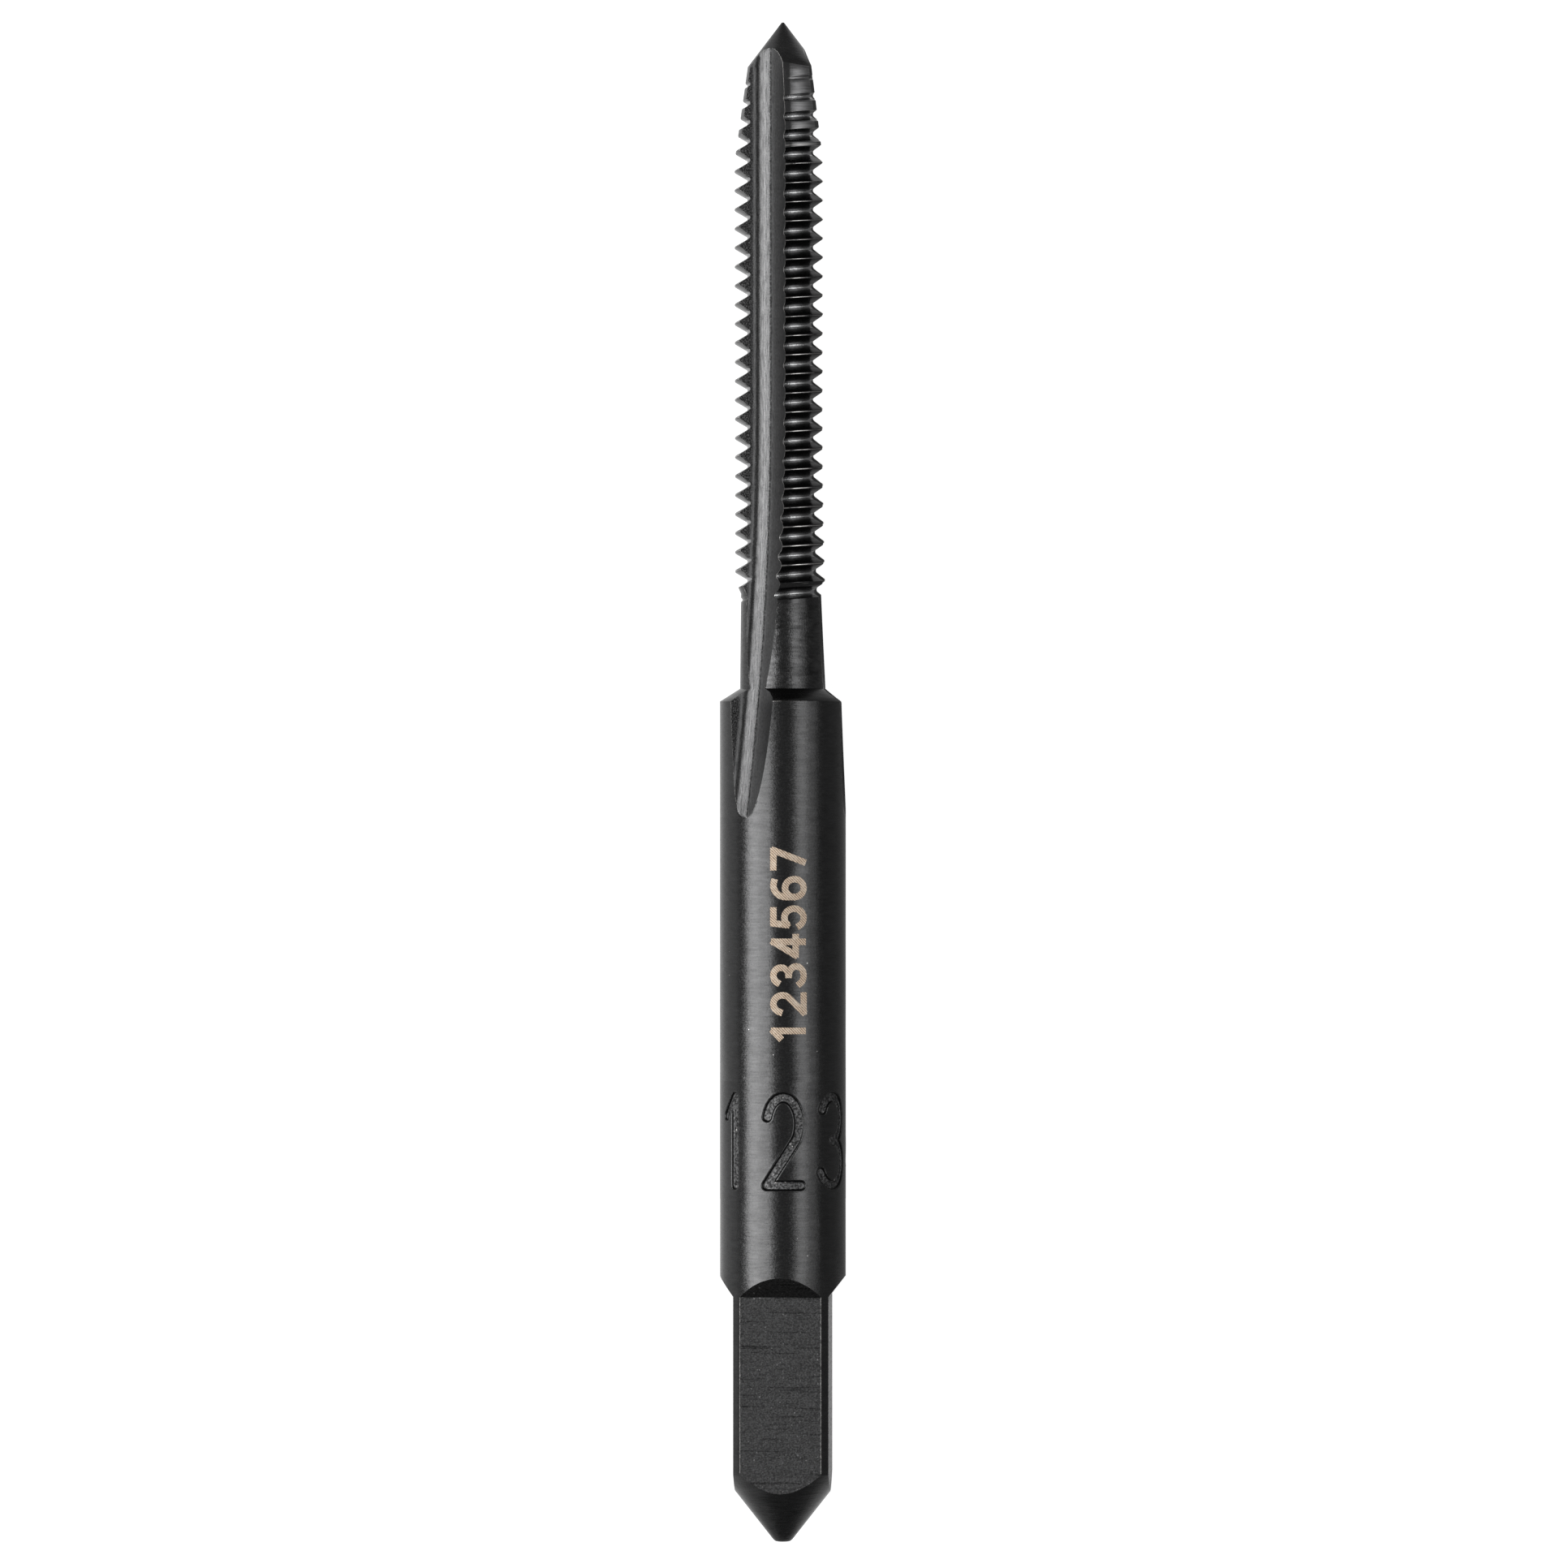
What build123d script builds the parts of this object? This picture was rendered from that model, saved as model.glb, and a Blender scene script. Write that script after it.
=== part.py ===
"""Hand tap with three straight flutes, ground from one bar of high speed steel.

Millimetres. The tap lies on its round shank with its axis along Y, point towards +Y, and the floor at z = 0.
The origin is on the floor, under the middle of its length. Places along the axis are given from the tip.
"""

from build123d import *
from math import acos, atan2, cos, degrees, radians, sin, sqrt, tan
import os

# Places along the axis, from the tip of the point
chamfer_end = 4.4            # the lead chamfer ends and the teeth have their full height
flute_rise = 12.0            # the flutes start to rise out of the body
thread_end = 17.60           # the last tooth of full height
neck_end = 21.01             # the neck meets the shoulder cone
square_start = 40.13         # the square's flats have their full depth from here on
overall_length = 47.9

# Diameters
tip_dia = 0.08               # the blunt tip of the point
point_dia = 2.185            # the base of the point
crest_dia = 3.01             # over the thread crests
neck_front_dia = 2.64
neck_back_dia = 2.70
shank_dia = 3.98
square_corner_dia = 3.94     # over the square's corners
end_flat_dia = 0.50          # the blunt end of the rear cone

# Angles from the axis
point_angle = 37.2
thread_back_angle = 24.0     # the cone behind the last full tooth
shoulder_angle = 58.0
square_ramp_angle = 38.0     # the ground run-out of each flat
rear_angle = 38.1

# Thread, right-handed
pitch = 0.6
crest_flat = 0.060           # left on top of each tooth
root_flat = 0.065            # at the bottom of each gap
flank_angle = 30.0           # each side of the V gap
last_gap_step = 0.62         # from the last full tooth to the last gap, which cuts into the neck's front
last_gap_lift = 0.16         # the last gap is this much shallower, because the wheel pulls out there
lead_offset = 0.15           # the lead chamfer is ground about an axis this far towards each cutting edge

# Flutes, ground by a formed wheel
flute_count = 3
flute_roll = 125.4           # the first flute's direction, from +X towards +Z
web_dia = 1.36               # the solid core between the flutes
floor_width = 0.46           # the flat floor between the hollow wall and the cutting face
heel_radius = 1.13           # the hollow wall behind the teeth
cutting_face_angle = 24.5    # from the flute's direction
corner_radius = 0.20         # the wheel's round corner, between the floor and the cutting face
wheel_radius = 66.0          # the grinding wheel, which leaves the long run-out

# Square drive
square_across = 3.0
square_roll = 3.0            # the first flat's direction, from +Z towards -X

tool_reach = 0.3             # how far a cutting tool reaches past the surface that it cuts
land_gap_inset = 8.0         # degrees between the ends of a land's cuts and the middle of the flutes beside it


def along(place):
    """The Y coordinate of a place given from the tip."""
    return overall_length / 2 - place


def rolled(angle):
    """A turn about the tap's own axis, from +X towards +Z."""
    return Rot(0, -angle, 0)


def cone_length(wide, narrow, angle):
    """The length of a cone between two diameters, for its angle from the axis."""
    return (wide - narrow) / 2 / tan(radians(angle))


def lead_slope():
    """How fast the lead chamfer's radius grows along the axis."""
    point_end = cone_length(point_dia, tip_dia, point_angle)
    return (crest_dia - point_dia) / 2 / (chamfer_end - point_end)


def gap_depth():
    """How deep the V gaps are, from the crests."""
    return (pitch - crest_flat - root_flat) / 2 / tan(radians(flank_angle))


def around(outline):
    """A solid of revolution about Y, from (diameter, place) pairs along its outline."""
    first, last = outline[0][1], outline[-1][1]
    corners = [(0, along(first))]
    corners += [(dia / 2, along(place)) for dia, place in outline]
    corners += [(0, along(last))]
    return revolve(make_face(Polyline(*corners, close=True)), Axis.Y)


def blank():
    """The turned bar: point, thread, neck, shank and rear cone, before anything is ground into it."""
    ramp_start = square_start - cone_length(shank_dia, square_across, square_ramp_angle)
    outline = [
        (tip_dia, 0),
        (crest_dia, cone_length(crest_dia, tip_dia, point_angle)),
        (crest_dia, thread_end),
        (neck_front_dia, thread_end + cone_length(crest_dia, neck_front_dia, thread_back_angle)),
        (neck_back_dia, neck_end),
        (shank_dia, neck_end + cone_length(shank_dia, neck_back_dia, shoulder_angle)),
        (shank_dia, ramp_start),
        (square_corner_dia, square_start),
        (square_corner_dia, overall_length - cone_length(square_corner_dia, end_flat_dia, rear_angle)),
        (end_flat_dia, overall_length),
    ]
    return around(outline)


def flute_form():
    """The wheel's form across a flute that opens towards +X, with its cutting face on the +Z side."""
    floor = web_dia / 2
    reach = shank_dia / 2 + tool_reach
    face = radians(cutting_face_angle)
    face_top = (reach, floor_width + (reach - floor) * tan(face))
    heel_top = (floor + heel_radius, -heel_radius)
    heel_middle = (floor + heel_radius * (1 - sqrt(0.5)), -heel_radius * sqrt(0.5))
    turn = radians(90) - face
    tangent = corner_radius * tan(turn / 2)
    round_start = (floor, floor_width - tangent)
    round_out = floor + corner_radius * (1 - cos(turn / 2))
    round_middle = (round_out, floor_width - tangent + corner_radius * sin(turn / 2))
    round_end = (floor + tangent * cos(face), floor_width + tangent * sin(face))
    outline = [
        Line((reach, -heel_radius), heel_top),
        ThreePointArc(heel_top, heel_middle, (floor, 0)),
        Line((floor, 0), round_start),
        ThreePointArc(round_start, round_middle, round_end),
        Line(round_end, face_top),
        Line(face_top, (reach, -heel_radius)),
    ]
    across = Plane(origin=(0, along(flute_rise), 0), x_dir=(1, 0, 0), z_dir=(0, -1, 0))
    return across * make_face(outline)


def flutes():
    """The straight flutes with their run-outs, where the wheel's rim lifts out through neck and shank."""
    floor = web_dia / 2
    form = flute_form()
    straight = extrude(form, flute_rise + tool_reach, dir=(0, 1, 0))
    wheel_axis = Axis((floor + wheel_radius, along(flute_rise), 0), (0, 0, 1))
    lift = degrees(acos(1 - (shank_dia / 2 + tool_reach - floor) / wheel_radius))
    run_out = revolve(form, wheel_axis, revolution_arc=lift)
    one = straight + run_out
    return [rolled(flute_roll + 360 * n / flute_count) * one for n in range(flute_count)]


def cutting_edge_angle():
    """Where the cutting face meets the crests, from the flute's direction."""
    face = radians(cutting_face_angle)
    start_out, start_across = web_dia / 2, floor_width
    inward = start_out * cos(face) + start_across * sin(face)
    length = sqrt(inward**2 - start_out**2 - start_across**2 + (crest_dia / 2) ** 2) - inward
    return degrees(atan2(start_across + length * sin(face), start_out + length * cos(face)))


def lead_grinds():
    """The lead chamfer, ground land by land so that each tooth stands highest at its cutting edge."""
    margin = 1.0
    front = cone_length(point_dia, tip_dia, point_angle) - margin
    back = chamfer_end + margin
    outline = [
        (crest_dia / 2 - lead_slope() * (chamfer_end - front) - lead_offset, along(front)),
        (crest_dia / 2 + lead_slope() * margin - lead_offset, along(back)),
        (crest_dia, along(back)),
        (crest_dia, along(front)),
    ]
    land_step = 360 / flute_count
    span = land_step - 2 * land_gap_inset
    ring = revolve(make_face(Polyline(*outline, close=True)), Axis.Y, revolution_arc=span)
    edge = radians(cutting_edge_angle())
    offset = Pos(lead_offset * cos(edge), 0, lead_offset * sin(edge))
    one = offset * rolled((land_step + span) / 2) * ring
    return [rolled(flute_roll + land_step * n) * one for n in range(flute_count)]


def thread_gap(place, root):
    """One V gap between two teeth, across the first land, with its middle at a place and this root radius."""
    half_crest = (pitch - crest_flat) / 2
    half_root = root_flat / 2
    depth = gap_depth()
    form = [
        (0, -half_root),
        (depth, -half_crest),
        (depth + tool_reach, -half_crest),
        (depth + tool_reach, half_crest),
        (depth, half_crest),
        (0, half_root),
    ]
    land_step = 360 / flute_count
    span = land_step - 2 * land_gap_inset
    helix_start = along(place + pitch * span / 2 / 360)
    path = Helix(pitch, pitch * span / 360, root, center=(0, helix_start, 0), direction=(0, 1, 0))
    start = path @ 0
    outward = Vector(start.X, 0, start.Z)
    section = Plane(start, x_dir=outward, z_dir=path % 0) * make_face(Polyline(*form, close=True))
    gap = sweep(section, path, is_frenet=True)
    start_roll = degrees(atan2(start.Z, start.X))
    return rolled(flute_roll + (land_step + span) / 2 - start_roll) * gap


def thread_gaps():
    """The gaps between the teeth, one on each land for each turn, from the neck forward to the point."""
    root = crest_dia / 2 - gap_depth()
    last_gap = thread_end + last_gap_step
    first_gap = chamfer_end - gap_depth() / lead_slope()
    land_pitch = pitch / flute_count
    count = int((last_gap - first_gap) / land_pitch)
    full = thread_gap(last_gap, root)
    gaps = [thread_gap(last_gap, root + last_gap_lift)]
    for n in range(1, count + 1):
        gaps.append(rolled(-360 / flute_count * n) * Pos(0, land_pitch * n, 0) * full)
    return gaps


def square_flats():
    """The four ground flats of the drive, each with its sloped run-out into the shank."""
    flat = square_across / 2
    reach = shank_dia / 2 + tool_reach
    ramp = (reach - flat) / tan(radians(square_ramp_angle))
    outline = [
        (flat, along(square_start)),
        (reach, along(square_start - ramp)),
        (reach, along(overall_length + tool_reach)),
        (flat, along(overall_length + tool_reach)),
    ]
    one = extrude(make_face(Polyline(*outline, close=True)), reach, both=True)
    return [rolled(90 + square_roll + 90 * n) * one for n in range(4)]


def tap():
    """The finished tap, lifted until its shank rests on the floor."""
    body = blank()
    for cutter in flutes() + square_flats() + lead_grinds():
        body = body - cutter
    body = body - thread_gaps()
    return Pos(0, 0, shank_dia / 2) * body


os.makedirs("parts", exist_ok=True)
export_step(tap(), "parts/tap.step")
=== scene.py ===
"""Looks of the hand tap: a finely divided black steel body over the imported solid, marks, light and camera.

The tap's own sizes are in millimetres, with places along its axis counted from the tip, as in part.py.
Blender's scene is in metres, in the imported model's frame: axis along Y, point towards +Y, floor at z = 0.
"""

import math

import bpy
import numpy as np
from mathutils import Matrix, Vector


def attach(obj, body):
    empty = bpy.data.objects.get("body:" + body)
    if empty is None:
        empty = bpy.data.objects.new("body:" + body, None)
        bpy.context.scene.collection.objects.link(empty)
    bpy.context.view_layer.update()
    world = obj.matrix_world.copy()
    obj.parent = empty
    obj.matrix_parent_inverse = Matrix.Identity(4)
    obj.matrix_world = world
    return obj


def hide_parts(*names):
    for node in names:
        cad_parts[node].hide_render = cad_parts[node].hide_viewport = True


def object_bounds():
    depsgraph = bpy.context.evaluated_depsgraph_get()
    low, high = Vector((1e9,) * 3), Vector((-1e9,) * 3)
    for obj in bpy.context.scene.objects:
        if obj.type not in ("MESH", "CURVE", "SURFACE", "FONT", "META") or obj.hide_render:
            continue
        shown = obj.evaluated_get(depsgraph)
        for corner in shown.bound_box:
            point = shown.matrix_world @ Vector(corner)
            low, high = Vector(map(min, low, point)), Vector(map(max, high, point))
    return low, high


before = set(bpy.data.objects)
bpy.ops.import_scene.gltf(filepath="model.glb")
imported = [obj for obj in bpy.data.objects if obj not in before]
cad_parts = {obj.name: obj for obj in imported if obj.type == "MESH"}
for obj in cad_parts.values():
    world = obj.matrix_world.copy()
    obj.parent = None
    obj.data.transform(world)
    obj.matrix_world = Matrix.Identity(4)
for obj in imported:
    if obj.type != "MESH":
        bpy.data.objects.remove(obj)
cad_low, cad_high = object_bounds()

MM = 0.001

# The tap's outline: radii, angles from the axis, places, and the square's direction in degrees
OVERALL = (cad_high.y - cad_low.y) / MM
SHANK_R = (cad_high.z - cad_low.z) / MM / 2
TIP_R = 0.04
POINT_R = 1.125
CREST_R = 1.505
CREST_FRONT_R = 1.530
NECK_FRONT_R = 1.32
NECK_BACK_R = 1.35
CORNER_R = 1.97
END_R = 0.25
POINT_ANGLE = math.radians(37.2)
BACK_ANGLE = math.radians(24.0)
SHOULDER_ANGLE = math.radians(58.0)
RAMP_ANGLE = math.radians(38.0)
REAR_ANGLE = math.radians(38.1)
CHAMFER_END = 4.15
FLUTE_RISE = 12.0
THREAD_END = 17.60
NECK_END = 21.01
SQUARE_START = 40.13
SQUARE_HALF = 1.5
SQUARE_ROLL = 93.0

# Thread: V gaps with rounded roots, the last of them shallower, and a lead chamfer ground off centre
PITCH = 0.6
CREST_FLAT = 0.060
ROOT_FLAT = 0.065
FLANK = math.radians(30.0)
ROOT_ROUND = 0.080
LAST_GAP = THREAD_END + 0.62
LAST_GAP_LIFT = 0.16
LEAD_OFFSET = 0.15
GAP_DEPTH = (PITCH - CREST_FLAT - ROOT_FLAT) / 2 / math.tan(FLANK)
GAP_APEX_R = CREST_R - GAP_DEPTH - ROOT_FLAT / 2 / math.tan(FLANK)
TOOTH_APEX_R = GAP_APEX_R + PITCH / 2 / math.tan(FLANK)
ROOT_MIDDLE_R = GAP_APEX_R + ROOT_ROUND / math.sin(FLANK)
ROOT_TOP_R = GAP_APEX_R + ROOT_ROUND * math.cos(FLANK) / math.tan(FLANK)

# Flutes, ground by a formed wheel, with the first one's direction in degrees
FLUTES = 3
SECTOR = 360.0 / FLUTES
FLUTE_ROLL = 125.4
FLOOR_R = 0.68
FLOOR_WIDTH = 0.46
HEEL_ROUND = 1.13
FACE_ANGLE = math.radians(24.5)
CORNER_ROUND = 0.34
CORNER_TURN = math.pi / 2 - FACE_ANGLE
FLOOR_FLAT = FLOOR_WIDTH - CORNER_ROUND * math.tan(CORNER_TURN / 2)
FACE_START = FLOOR_FLAT + CORNER_ROUND * CORNER_TURN
WHEEL_R = 66.0

# Marks: numerals etched on the shank, and numerals rolled into a band round it. STROKE_CAP is a share of a
# stroke's width, and WIDEST_NUMERAL and LAST_NUMERAL are shares of a numeral's height.
ETCHED_ROLL = 84.75
ETCHED_START = 26.07
ETCHED_END = 32.20
ETCHED_HEIGHT = 1.17
ETCHED_STROKE = 0.205
ETCHED_LEVEL = 0.0005
STROKE_CAP = 0.36
STROKE_STEP = 0.1
LEAST_MITRE = 0.4
SHARP_TURN = math.radians(40)
WIDEST_NUMERAL = 0.62
LAST_NUMERAL = 0.60
BAND_START = 33.36
BAND_END = 37.08
BAND_DEPTH = 0.13
ROLLED_MIDDLE = 35.22
ROLLED_HEIGHT = 2.76
ROLLED_WIDTH = 1.16
ROLLED_STROKE = 0.28
ROLLED_DEPTH = 0.07
ROLLED_STEP = 53.0
ROLLED_ROLL = 89.3
SKIN = 0.005

# How finely the body is divided. EDGE_WEAR is the width of the strips along edges, and FINE the step beside
# a corner.
LAND_STEPS = 24
HEEL_STEPS = 10
FLOOR_STEPS = 3
BEND_STEPS = 5
FACE_STEPS = 5
GAP_ROWS = 18
EDGE_WEAR = 0.034
FINE = 0.006
TINY = 1e-6

# Rows of one gap, counted from its middle. A row on a crest has its share of the rounding and of the flat.
ROOT_ROWS = 3
FLANK_ROW = 4
CORNER_ROW = 5
CREST_ROWS = ((6, 0.65, 0.0), (7, 0.42, 0.35), (8, 0.2, 0.7))
LAST_ROWS = int(0.42 / PITCH * GAP_ROWS)
FIRST_PAST = 0.10
GAP_NEAR = 0.01
LEAST_GAP = 0.02
LEAST_CREST = 0.012
LEAST_STEP = 0.012
SHARP_CREST = 0.07

# How bare the metal is, from 0 to 1 (the few dots at the heel corners of the top land are given more)
CREST_WEAR = np.array([0.0, 0.4, 0.9, 1.0])
LEAD_WEAR = 0.45
LAST_WEAR = ((0.45, 0.2), (0.1, 0.7))  # how far past the thread's end, and the share that is left there
HEEL_WEAR = 0.4
DOT_WEAR = 1.6
DOT_FROM = 0.85

POINT_END = (POINT_R - TIP_R) / math.tan(POINT_ANGLE)
POINT_TOP = (CREST_FRONT_R - TIP_R) / math.tan(POINT_ANGLE)
NECK_FRONT = THREAD_END + (CREST_R - NECK_FRONT_R) / math.tan(BACK_ANGLE)
SHANK_START = NECK_END + (SHANK_R - NECK_BACK_R) / math.tan(SHOULDER_ANGLE)
RAMP_START = SQUARE_START - (SHANK_R - SQUARE_HALF) / math.tan(RAMP_ANGLE)
REAR_START = OVERALL - (CORNER_R - END_R) / math.tan(REAR_ANGLE)
SQUARE_EDGE = math.degrees(math.acos(SQUARE_HALF / CORNER_R))
LEAD_SLOPE = (CREST_R - POINT_R) / (CHAMFER_END - POINT_END)
FLUTE_FRONT = (FLOOR_R - TIP_R) / math.tan(POINT_ANGLE)
SHANK_TOP = SHANK_R - SKIN
FLUTE_EXIT = FLUTE_RISE + math.sqrt(WHEEL_R**2 - (WHEEL_R - SHANK_TOP + FLOOR_R) ** 2)

TURNED = [
    (0, TIP_R),
    (POINT_TOP, CREST_FRONT_R),
    (THREAD_END, CREST_R),
    (NECK_FRONT, NECK_FRONT_R),
    (NECK_END, NECK_BACK_R),
    (SHANK_START, SHANK_TOP),
    (RAMP_START, SHANK_TOP),
    (SQUARE_START, CORNER_R),
    (REAR_START, CORNER_R),
    (OVERALL, END_R),
]
TURNED_AT, TURNED_R = zip(*TURNED)


# ---------------------------------------------------------------- helpers

def add_object(name, data):
    """A new object in the scene."""
    thing = bpy.data.objects.new(name, data)
    bpy.context.scene.collection.objects.link(thing)
    return thing


def new_mesh(name, points, faces, grain, sharp_angle, **values):
    """A smooth mesh, with values for each point, and for each corner its grain: the finishes' coordinates."""
    mesh = bpy.data.meshes.new(name)
    mesh.from_pydata(points, [], faces)
    for key, amounts in values.items():
        mesh.attributes.new(key, "FLOAT", "POINT").data.foreach_set("value", np.array(amounts, np.float32))
    layer = mesh.attributes.new("grain", "FLOAT_VECTOR", "CORNER")
    layer.data.foreach_set("vector", np.array(grain, np.float32).ravel())
    mesh.shade_smooth()
    if sharp_angle:
        mesh.set_sharp_from_angle(angle=math.radians(sharp_angle))
    return mesh


def points_at(place, radius, angle):
    """Points in the scene's frame, from places, radii and angles round the axis in radians."""
    parts = (radius * np.cos(angle), OVERALL / 2 - place, SHANK_R + radius * np.sin(angle))
    return list(zip(*((part * MM).ravel() for part in np.broadcast_arrays(*parts))))


# ---------------------------------------------------------------- the flute's form

def flute_form(run, place):
    """(out, across) on the flute's form: run < 0 on the heel's wall, then the floor, then the face."""
    run = np.asarray(run, float)
    turn = np.clip(-run, 0, None) / HEEL_ROUND
    flat = np.clip(run, 0, FLOOR_FLAT)
    bend = np.clip(run - FLOOR_FLAT, 0, FACE_START - FLOOR_FLAT) / CORNER_ROUND
    face = np.clip(run - FACE_START, 0, None)
    out = HEEL_ROUND * (1 - np.cos(turn)) + CORNER_ROUND * (1 - np.cos(bend)) + face * math.cos(FACE_ANGLE)
    across = flat - HEEL_ROUND * np.sin(turn) + CORNER_ROUND * np.sin(bend) + face * math.sin(FACE_ANGLE)
    past_rise = np.maximum(np.asarray(place, float) - FLUTE_RISE, 0.0)
    lifted = WHEEL_R - np.sqrt((WHEEL_R - out) ** 2 - past_rise**2)
    return FLOOR_R + lifted, across


def flute_polar(run, place):
    """(radius, degrees from the flute's direction) on the flute's form."""
    out, across = flute_form(run, place)
    return np.hypot(out, across), np.degrees(np.arctan2(across, out))


def flute_meets(radius, place, side):
    """Where the form reaches a radius, on the heel's side (-1) or the face's (+1); 0 where it never dips."""
    halvings, past_floor = 40, 2.2
    near = np.zeros(np.broadcast(radius, place).shape)
    far = near + side * (HEEL_ROUND * math.pi / 2 if side < 0 else FLOOR_WIDTH + past_floor)
    for _ in range(halvings):
        middle = (near + far) / 2
        inside = flute_polar(middle, place)[0] < radius
        near = np.where(inside, middle, near)
        far = np.where(inside, far, middle)
    return near


CUTTING_EDGE = float(flute_polar(flute_meets(CREST_R, 5.0, 1), 5.0)[1])


# ---------------------------------------------------------------- the land's surface

def lead_radius(place, from_edge):
    """The relieved lead, by degrees behind the cutting edge."""
    behind = np.radians(from_edge)
    ground = CREST_R - LEAD_SLOPE * (CHAMFER_END - place) - LEAD_OFFSET
    across = LEAD_OFFSET * np.sin(behind)
    return LEAD_OFFSET * np.cos(behind) + np.sqrt(np.maximum(ground**2 - across**2, 0))


def land_radius(place, from_edge):
    """The surface before any thread is cut: the turned outline and the lead's."""
    lead = np.where(place < CHAMFER_END + 1, lead_radius(place, from_edge), SHANK_R)
    return np.minimum(np.interp(place, TURNED_AT, TURNED_R), lead)


def gap_radius(off, lift):
    """The radius at the bottom of a gap, by the distance from its middle, with a rounded root."""
    off = np.abs(off)
    tangent = ROOT_ROUND * math.cos(FLANK)
    bottom = ROOT_MIDDLE_R - np.sqrt(np.maximum(ROOT_ROUND**2 - off**2, 0))
    return np.where(off < tangent, bottom, GAP_APEX_R + off / math.tan(FLANK)) + lift


def gap_half_width(radius, lift):
    """Half the width of a gap where it meets a surface of this radius."""
    radius = radius - lift
    chord = np.sqrt(np.maximum(ROOT_ROUND**2 - np.maximum(ROOT_MIDDLE_R - radius, 0) ** 2, 0))
    return np.where(radius < ROOT_TOP_R, chord, (radius - GAP_APEX_R) * math.tan(FLANK))


# ---------------------------------------------------------------- rows of the body

def eased(count, narrow):
    """Shares from 0 to 1 with two narrow steps at each end."""
    inner = np.linspace(3 * narrow, 1 - 3 * narrow, count - 3)
    return np.concatenate([[0, narrow], inner, [1 - narrow, 1]])


LAND_WIDTH = 1.36
HEEL_GUESS = 38.0
LAND_SHARE = eased(LAND_STEPS, EDGE_WEAR / LAND_WIDTH)
HEEL_SHARE = np.concatenate([[0, 0.06], np.linspace(0.13, 1, HEEL_STEPS - 1)])
FLOOR_SHARE = np.linspace(0, 1, FLOOR_STEPS + 1)[1:]
BEND_SHARE = np.linspace(0, 1, BEND_STEPS + 1)[1:]
FACE_SHARE = np.concatenate([np.linspace(0, 0.95, FACE_STEPS)[1:], [1.0]])
CORNER_LIMIT = 0.6
BEND_LIMIT = 0.85
LANDS = np.arange(FLUTES)[:, None]
LAND_START = FLUTE_ROLL + SECTOR * LANDS
LAND_MIDDLE = FLUTE_ROLL + SECTOR * (LANDS + 0.5)
LAND_HEEL = LAND_START + SECTOR - HEEL_GUESS
EDGE_ROLL = LAND_START + CUTTING_EDGE
FIRST_STEP = -int((LAST_GAP - POINT_END - FIRST_PAST) / PITCH * GAP_ROWS)


def across_flutes(place, radius, heel_run, face_run):
    """The flutes' points between one row's lands, as (place, radius, roll, wear, run)."""
    next_place, next_run = np.roll(place[:, :1], -1, axis=0), np.roll(face_run, -1, axis=0)
    corner = np.minimum(FLOOR_FLAT, CORNER_LIMIT * next_run)
    bend = np.minimum(FACE_START, BEND_LIMIT * next_run)
    parts = [
        heel_run * (1 - HEEL_SHARE),
        corner * FLOOR_SHARE,
        corner + (bend - corner) * BEND_SHARE,
        bend + (next_run - bend) * FACE_SHARE,
    ]
    run = np.concatenate(parts, axis=1)[:, 1:-1]
    width = next_run - heel_run
    is_open = width > TINY
    share = np.where(is_open, (run - heel_run) / np.maximum(width, TINY), 0.5)
    at = place[:, -1:] * (1 - share) + next_place * share
    form_r, form_roll = flute_polar(run, at)
    out = np.where(is_open, form_r, radius[:, -1:])
    return at, out, np.where(is_open, form_roll, 0) + (LAND_START + SECTOR), np.zeros_like(run), run


def add_row(rows, station, wear=0.0):
    """Adds one row; station(roll) gives its place and radius at rolls of shape (lands, steps + 1)."""
    cut, heel = EDGE_ROLL, LAND_HEEL
    for _ in range(6):
        roll = cut + (heel - cut) * LAND_SHARE
        place, radius = station(roll)
        face_run = flute_meets(radius[:, :1], place[:, :1], 1)
        heel_run = flute_meets(radius[:, -1:], place[:, -1:], -1)
        cut = LAND_START + flute_polar(face_run, place[:, :1])[1] * (face_run > 0)
        heel = LAND_START + SECTOR + flute_polar(heel_run, place[:, -1:])[1] * (heel_run < 0)
    edge = np.zeros_like(roll) + wear
    top_heel = edge[2, -3:]
    top_heel[top_heel > DOT_FROM] = DOT_WEAR
    opened = face_run > 0
    edge[:, :1] = np.where(opened, 1.0, edge[:, :1])
    worn_heel = np.where(place[:, -1:] < THREAD_END, 1.0, HEEL_WEAR)
    edge[:, -1:] = np.where(opened, np.maximum(worn_heel, edge[:, -1:]), edge[:, -1:])
    land = (place, radius, roll, edge, np.zeros_like(place))
    rows.append((land, across_flutes(place, radius, heel_run, face_run)))


def flat_row(rows, at, wear=0.0):
    """A row at one place along the axis, on the turned and ground surface."""

    def station(roll):
        place = np.full_like(roll, at)
        return place, land_radius(place, roll - EDGE_ROLL)

    add_row(rows, station, wear)


def point_end_row(rows):
    """The row along the edge between the point's cone and the relieved lead."""

    def station(roll):
        place = np.full_like(roll, POINT_END)
        for _ in range(12):
            place = (lead_radius(place, roll - EDGE_ROLL) - TIP_R) / math.tan(POINT_ANGLE)
        return place, TIP_R + place * math.tan(POINT_ANGLE)

    add_row(rows, station)


def gap_state(middle):
    """Which gaps are missing, because they would lie behind the last one, and how far each is lifted."""
    return middle > LAST_GAP + GAP_NEAR, np.where(middle > LAST_GAP - GAP_NEAR, LAST_GAP_LIFT, 0.0)


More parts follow.
